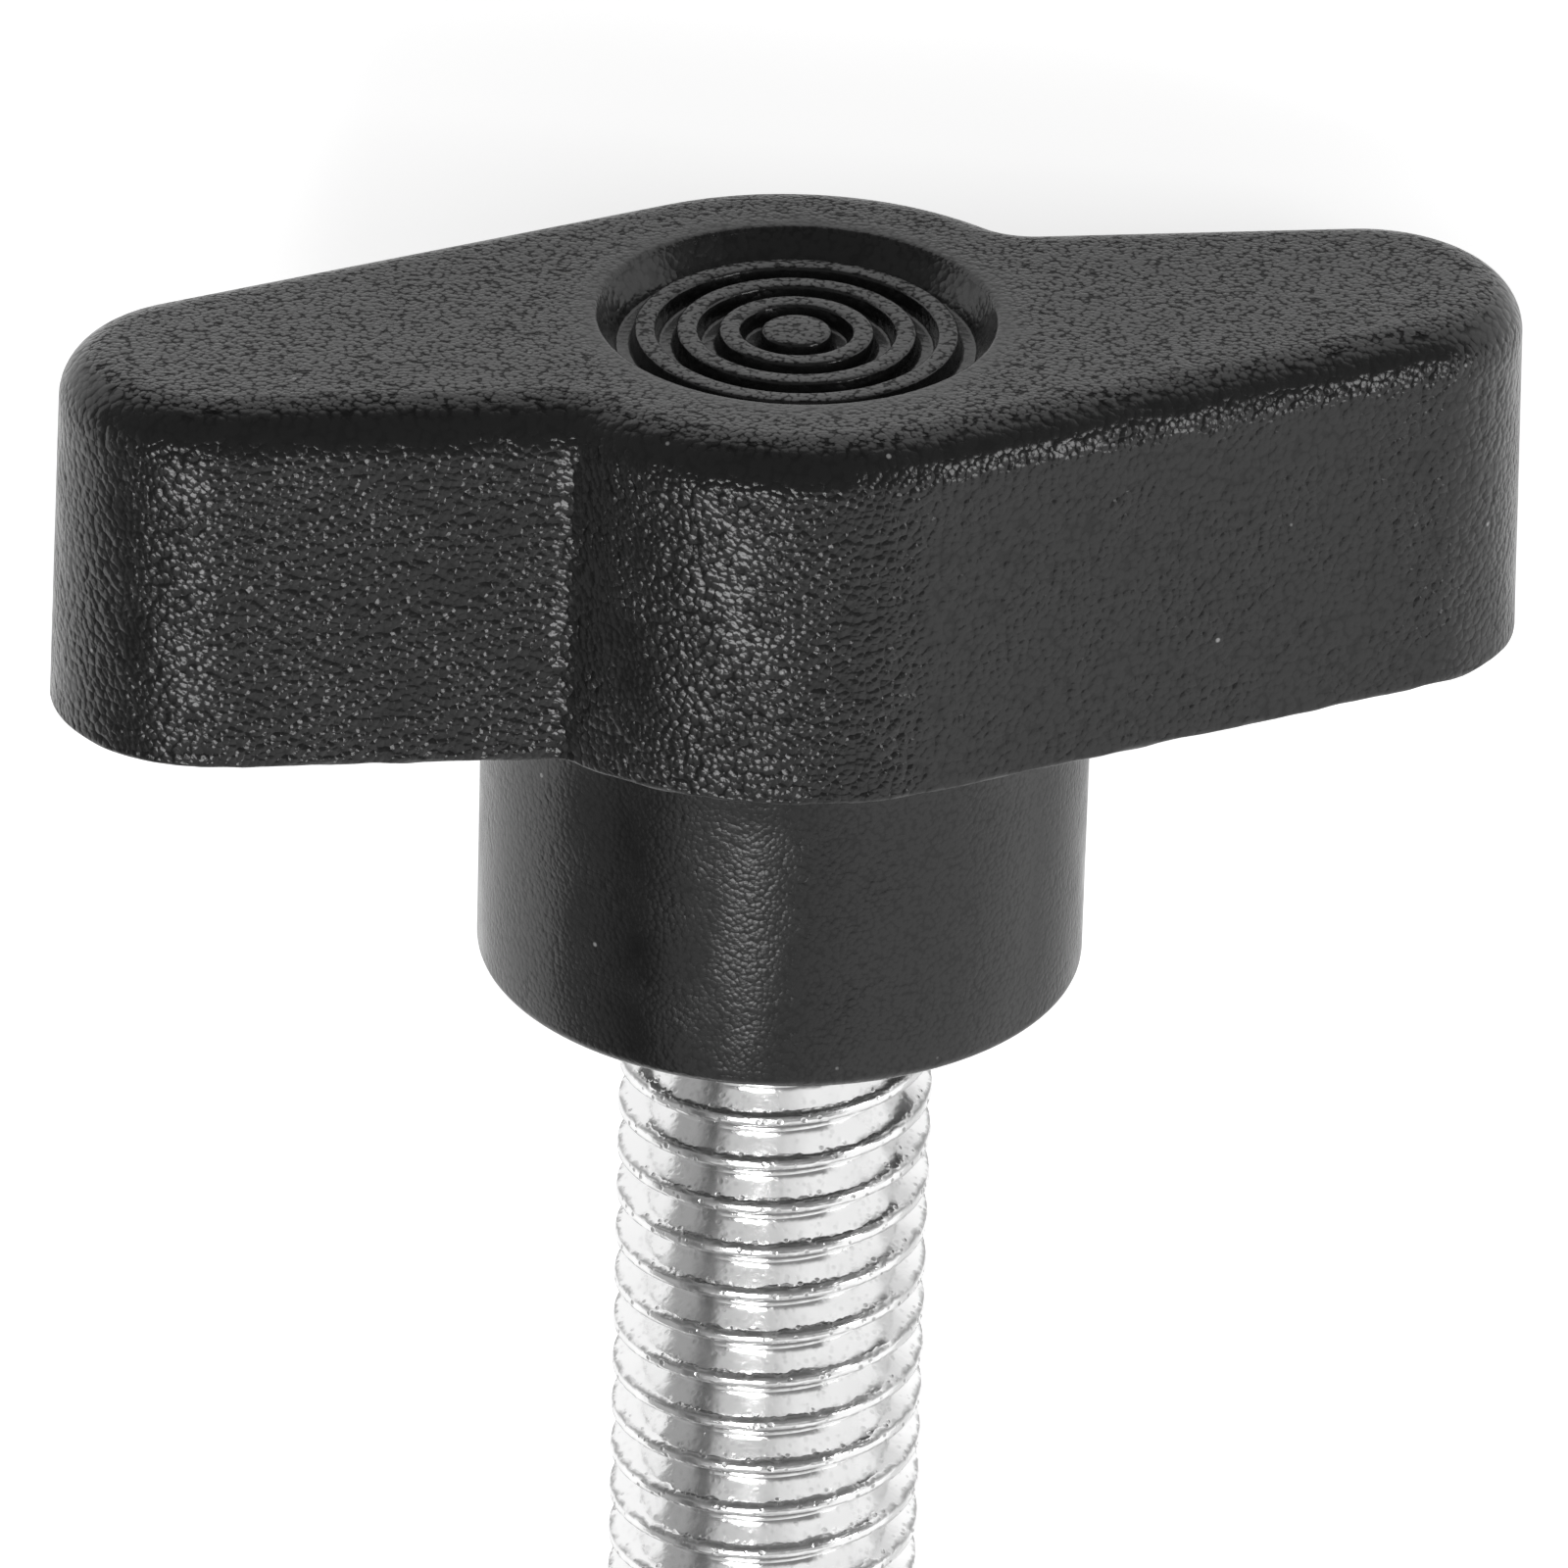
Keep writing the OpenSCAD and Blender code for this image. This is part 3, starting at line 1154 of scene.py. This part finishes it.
    def tree_values(self) -> dict[str, float | int]:
        """Lists the inputs of the thread's tree.

        Returns:
            The value of each input, by its name.
        """
        return {
            "Length": self.length,
            "Pitch": self.pitch,
            "Crest Radius": self.root.crest_radius,
            "Thread Depth": self.thread_depth,
            "End Chamfer": self.end_chamfer,
            "Neck Radius": self.root.neck_radius,
            "Run-out": self.root.runout_length,
            "Crest Flat": self.crest_flat,
            "Root Flat": self.root_flat,
            "Crest Lean": self.crest_lean,
            "Phase": self.phase,
            "Columns": self.columns,
            "Rows per Turn": self.rows_per_turn,
        }

    def build(self, material: bpy.types.Material) -> None:
        """Builds the thread and the root and joins them.

        Args:
            material: The stud's finish.
        """
        tree = self.thread_tree()
        tree.nodes["finish"].inputs["Material"].default_value = material
        values = self.tree_values()
        carrier = new_object("thread_carrier", bpy.data.meshes.new("thread_carrier"))
        modifier = carrier.modifiers.new("thread", "NODES")
        modifier.node_group = tree
        for item in tree.interface.items_tree:
            if item.in_out == "INPUT":
                modifier[item.identifier] = values[item.name]
        graph = bpy.context.evaluated_depsgraph_get()
        thread = bpy.data.meshes.new_from_object(carrier.evaluated_get(graph), depsgraph=graph)
        carrier.modifiers.remove(modifier)
        bpy.data.objects.remove(carrier)
        self.object = self.joined(thread)

    def joined(self, thread: bpy.types.Mesh) -> bpy.types.Object:
        """Closes the thread's lower end and adds the root above it.

        Args:
            thread: Mesh of the thread, open at both ends.

        Returns:
            The stud's object.
        """
        angles = np.arange(self.columns) * math.tau / self.columns
        circle = np.column_stack([np.cos(angles), np.sin(angles)])
        rings = []
        for level in reversed(self.root.levels()):
            knurled = level.section is Section.KNURL
            radii = self.root.knurl(angles) if knurled else np.full(self.columns, level.size)
            rings.append(np.column_stack([circle * radii[:, None], np.full(self.columns, level.height)]))
        top_points, top_faces = skin(np.array(rings), (self.root.top, None))
        end_radius = self.root.crest_radius - self.end_chamfer
        end_ring = np.column_stack([circle * end_radius, np.full(self.columns, -self.length)])
        end_points, end_faces = skin(end_ring[None], (None, -self.length))
        work = bmesh.new()
        work.from_mesh(thread)
        for points, faces in ((top_points, top_faces), (end_points, end_faces)):
            made = [work.verts.new(p) for p in points]
            for face in faces:
                work.faces.new([made[i] for i in face])
        bmesh.ops.remove_doubles(work, verts=work.verts[:], dist=self.weld)
        bmesh.ops.dissolve_degenerate(work, edges=work.edges[:], dist=self.sliver)
        open_edges = sum(not e.is_manifold for e in work.edges)
        log.info("stud: %d open edges", open_edges)
        bmesh.ops.recalc_face_normals(work, faces=work.faces[:])
        mesh = bpy.data.meshes.new("threaded_stud")
        work.to_mesh(mesh)
        work.free()
        mesh.transform(self.placement.matrix)
        soften(mesh, self.sharp_angle)
        return new_object("threaded_stud", mesh)

    def dress(self, material: bpy.types.Material) -> None:
        """Gives the stud its finish and its place in the frame.

        Args:
            material: The stud's finish.
        """
        self.object.data.materials.clear()
        self.object.data.materials.append(material)
        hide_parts("stud")
        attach(self.object, BODY)


@dataclass(frozen=True)
class PhotoView:
    """The camera of the photograph, in a frame whose x runs to the right of the picture."""

    placement: Placement
    top: float
    distance: float = 366.0
    elevation: float = math.radians(27.883)
    roll: float = math.radians(1.626)
    focal_pixels: float = 15050.75
    frame_pixels: float = 1600.0
    aim: tuple[float, float, float] = (0.006, 0.0, -12.993)
    wing_azimuth: float = math.radians(11.62)
    sensor_width: float = 36.0
    clip_start: float = 0.01

    @property
    def frame_matrix(self) -> Matrix:
        """From the picture's frame, in mm with its origin in the top face, to the scene."""
        lift = Matrix.Translation((0, 0, self.top))
        return self.placement.matrix @ lift @ Matrix.Rotation(-self.wing_azimuth, 4, "Z")

    def direction(self, azimuth: float, elevation: float) -> Vector:
        """A direction in the scene.

        Args:
            azimuth: Degrees to the right of the camera, seen from above the screw.
            elevation: Degrees above the plane of the top face.

        Returns:
            The unit vector that points there from the screw.
        """
        a, e = math.radians(azimuth), math.radians(elevation)
        local = Vector((math.sin(a) * math.cos(e), -math.cos(a) * math.cos(e), math.sin(e)))
        return (self.frame_matrix.to_3x3() @ local).normalized()

    def make(self) -> None:
        """Makes the camera and sets it as the scene's."""
        back = Vector((0, -math.cos(self.elevation), math.sin(self.elevation)))
        right = Vector((1, 0, 0))
        up = back.cross(right)
        across = right * math.cos(self.roll) + up * math.sin(self.roll)
        upward = up * math.cos(self.roll) - right * math.sin(self.roll)
        place = Vector(self.aim) + back * self.distance
        turn = self.frame_matrix.to_3x3() @ Matrix((across, upward, back)).transposed()
        data = bpy.data.cameras.new("camera")
        data.sensor_width = self.sensor_width
        data.lens = self.focal_pixels / self.frame_pixels * self.sensor_width
        data.clip_start = self.clip_start
        camera = new_object("camera", data)
        camera.rotation_mode = "QUATERNION"
        camera.rotation_quaternion = turn.to_quaternion()
        camera.location = self.frame_matrix @ place
        bpy.context.scene.camera = camera


@dataclass(frozen=True)
class TentBand:
    """A stretch of the tent's wall with its own strength.

    It starts at an angle in degrees to the right of the camera, and ends where the next one starts.
    """

    start: float
    strength: float
    soft: float = 10.0


@dataclass(frozen=True)
class TentPatch:
    """An area of the light tent above its wall.

    The angles are in degrees: to the right of the camera, and above the plane of the top face.
    """

    left: float
    right: float
    low: float
    high: float
    strength: float
    soft: float = 10.0


@dataclass(frozen=True)
class PaintedReflectionStrip:
    """A dark strip beside the stud, in metres, which shows only as a reflection in the metal: a painted
    dark reflection, since the floor is darkened for mirrored rays only.
    """

    left: float = 0.009
    right: float = 0.026
    front: float = -0.045
    back: float = 0.014
    soft: float = 0.006
    strength: float = 0.68


@dataclass(frozen=True)
class Softbox:
    """A lamp outside the tent, in degrees, metres and watts."""

    name: str
    azimuth: float
    elevation: float
    distance: float
    width: float
    height: float
    power: float


@dataclass(frozen=True)
class Studio:
    """A pale floor in a light tent, with two softboxes."""

    view: PhotoView
    floor_half: float = 2.0
    floor_colour: float = 0.8
    floor_roughness: float = 0.9
    floor_glow: float = 0.75
    floor_glow_reflected: float = 0.6
    strip: PaintedReflectionStrip = PaintedReflectionStrip()
    bands: tuple[TentBand, ...] = (
        TentBand(-180, 0.42),
        TentBand(-64, 0.13, 18),
        TentBand(-46, 0.7, 14),
        TentBand(10, 0.95),
        TentBand(25, 1.13),
    )
    patches: tuple[TentPatch, ...] = (
        TentPatch(-125, 125, 5, 98, 0.28, 12),
        TentPatch(-46, 48, -18, 98, 0.24),
    )
    softboxes: tuple[Softbox, ...] = (
        Softbox("key_left", -18, -13, 0.5, 0.24, 0.11, 0.72),
        Softbox("fill_right", 57, 13, 0.5, 0.2, 0.11, 0.4),
    )

    def floor(self) -> None:
        """Makes the pale floor, which looks white but keeps the screw's shadow, and whose strip paints a
        dark reflection into the stud.
        """
        half = self.floor_half
        corners = [(-half, -half, 0), (half, -half, 0), (half, half, 0), (-half, half, 0)]
        mesh = bpy.data.meshes.new("floor")
        mesh.from_pydata(corners, [], [(0, 1, 2, 3)])
        obj = new_object("floor", mesh)
        material, b, shader, output = empty_material("floor_white")
        path = b.node("ShaderNodeLightPath").outputs
        mirrored = b.largest(path["Is Glossy Ray"], path["Is Transmission Ray"])
        direct = b.times(path["Is Camera Ray"], self.floor_glow)
        # painted reflection: the strip darkens the floor only for mirrored rays, so it shows as a dark
        # reflection in the stud
        shade = b.times(self.painted_reflection_mask(b), mirrored)
        reflected = b.times(b.minus(mirrored, shade), self.floor_glow_reflected)
        strength = b.plus(direct, reflected)
        glow = b.node("ShaderNodeEmission", {"Color": grey(1.0), "Strength": strength})
        both = b.node("ShaderNodeAddShader", {0: shader.outputs[0], 1: glow.outputs[0]})
        b.feed(shader, {
            "Base Color": b.mix(shade, grey(self.floor_colour), grey(0.0)),
            "Roughness": self.floor_roughness,
            "Specular IOR Level": 0.0,
        })
        b.feed(output, {"Surface": both.outputs[0]})
        mesh.materials.append(material)

    def painted_reflection_mask(self, b: NodeBuilder) -> Socket:
        """Adds the nodes that find the strip on the floor that paints a dark reflection into the stud.

        Args:
            b: Builder of the floor's tree.

        Returns:
            How much of the light the strip takes away, which is 0 beside it.
        """
        where = b.node("ShaderNodeTexCoord").outputs["Object"]
        parts = b.node("ShaderNodeSeparateXYZ", {0: where}).outputs
        across = self.within(b, parts["X"], self.strip.left, self.strip.right, self.strip.soft)
        along = self.within(b, parts["Y"], self.strip.front, self.strip.back, self.strip.soft)
        return b.times(b.times(across, along), 1.0 - self.strip.strength)

    def tent(self) -> None:
        """Makes the world: a light tent with a wall in bands and a dimmer roof."""
        world = bpy.data.worlds.new("tent")
        world.use_nodes = True
        world.node_tree.nodes.clear()
        b = NodeBuilder(world.node_tree)
        azimuth, elevation = self.angles(b)
        strength = self.wall(b, azimuth)
        for patch in self.patches:
            mask = b.times(self.within(b, azimuth, patch.left, patch.right, patch.soft),
                           self.within(b, elevation, patch.low, patch.high, patch.soft))
            change = b.minus(patch.strength, strength)
            strength = b.math("MULTIPLY_ADD", mask, change, strength)
        camera = b.node("ShaderNodeLightPath").outputs["Is Camera Ray"]
        shown = b.largest(strength, camera)
        background = b.node("ShaderNodeBackground", {"Color": grey(1.0), "Strength": shown})
        b.node("ShaderNodeOutputWorld", {"Surface": background.outputs[0]})
        bpy.context.scene.world = world

    def wall(self, b: NodeBuilder, azimuth: Socket) -> Socket:
        """Adds the ramp of the tent's wall.

        Args:
            b: Builder of the world's tree.
            azimuth: Degrees to the right of the camera.

        Returns:
            The wall's strength there.
        """
        brightest = max(band.strength for band in self.bands)
        ramp = b.node("ShaderNodeValToRGB", {0: b.span(azimuth, -180.0, 180.0, 0.0, 1.0)})
        ramp.color_ramp.interpolation = "EASE"
        stops = ramp.color_ramp.elements
        stops[0].color = grey(self.bands[0].strength / brightest)
        stops[-1].color = grey(self.bands[-1].strength / brightest)
        for before, band in zip(self.bands, self.bands[1:]):
            for side, strength in ((-0.5, before.strength), (0.5, band.strength)):
                stop = stops.new((band.start + side * band.soft + 180) / 360)
                stop.color = grey(strength / brightest)
        return b.times(ramp.outputs["Color"], brightest)

    def angles(self, b: NodeBuilder) -> tuple[Socket, Socket]:
        """Adds the nodes that turn the world's direction into the angles of the bands and patches.

        Args:
            b: Builder of the world's tree.

        Returns:
            Degrees to the right of the camera, and degrees above the plane of the top face.
        """
        where = b.node("ShaderNodeTexCoord").outputs["Generated"]
        axes = (self.view.direction(90, 0), self.view.direction(0, 0), self.view.direction(0, 90))
        parts = []
        for axis in axes:
            dot = b.node("ShaderNodeVectorMath", {0: where, 1: axis}, operation="DOT_PRODUCT")
            parts.append(dot.outputs["Value"])
        azimuth = b.times(b.math("ARCTAN2", parts[0], parts[1]), math.degrees(1))
        elevation = b.times(b.math("ARCSINE", parts[2]), math.degrees(1))
        return azimuth, elevation

    @staticmethod
    def within(b: NodeBuilder, value: Socket, low: float, high: float, soft: float) -> Socket:
        """Adds the nodes for a mask that is 1 between two values.

        Args:
            b: Builder of the tree.
            value: The value.
            low: Lower edge of the mask.
            high: Upper edge of the mask.
            soft: Width over which each edge fades.

        Returns:
            The mask.
        """
        reach = (high - low) / 2
        off = b.math("ABSOLUTE", b.minus(value, (low + high) / 2))
        return b.span(off, reach - soft / 2, reach + soft / 2, 1.0, 0.0, smooth=True)

    def lamps(self) -> None:
        """Makes the softboxes, each facing the middle of the screw."""
        middle = (CAD_BOX[0] + CAD_BOX[1]) / 2
        for box in self.softboxes:
            data = bpy.data.lights.new(box.name, "AREA")
            data.shape = "RECTANGLE"
            data.size, data.size_y = box.width, box.height
            data.energy = box.power
            lamp = new_object(box.name, data)
            towards = self.view.direction(box.azimuth, box.elevation)
            lamp.location = middle + towards * box.distance
            lamp.rotation_mode = "QUATERNION"
            lamp.rotation_quaternion = towards.to_track_quat("Z", "Y")
            lamp.visible_camera = False

    def build(self) -> None:
        """Makes the floor, the tent, the lamps and the camera."""
        self.floor()
        self.tent()
        self.lamps()
        self.view.make()
        bpy.context.scene.view_settings.view_transform = "Standard"


def main() -> None:
    plan = GripPlan()
    root = StudRoot()
    placement = Placement.from_record(frame["record"], Handle.hub_height, plan.tip_radius, plan.tip_x)
    groups = ShaderGroups(placement)
    handle = Handle(placement, root, plan)
    handle.build()
    moulded = MouldedFinish(handle.hub_height, handle.top, handle.ring_top, handle.recess_radius)
    handle.dress(moulded.material(groups))
    log.info("handle: %d faces", len(handle.object.data.polygons))
    stud = Stud(placement, root)
    zinc = ZincFinish(root.crest_radius, stud.pitch, stud.crest_height).material(groups)
    stud.build(zinc)
    stud.dress(zinc)
    log.info("stud: %d faces", len(stud.object.data.polygons))
    Studio(PhotoView(placement, handle.top)).build()


if __name__ == "__main__":
    main()
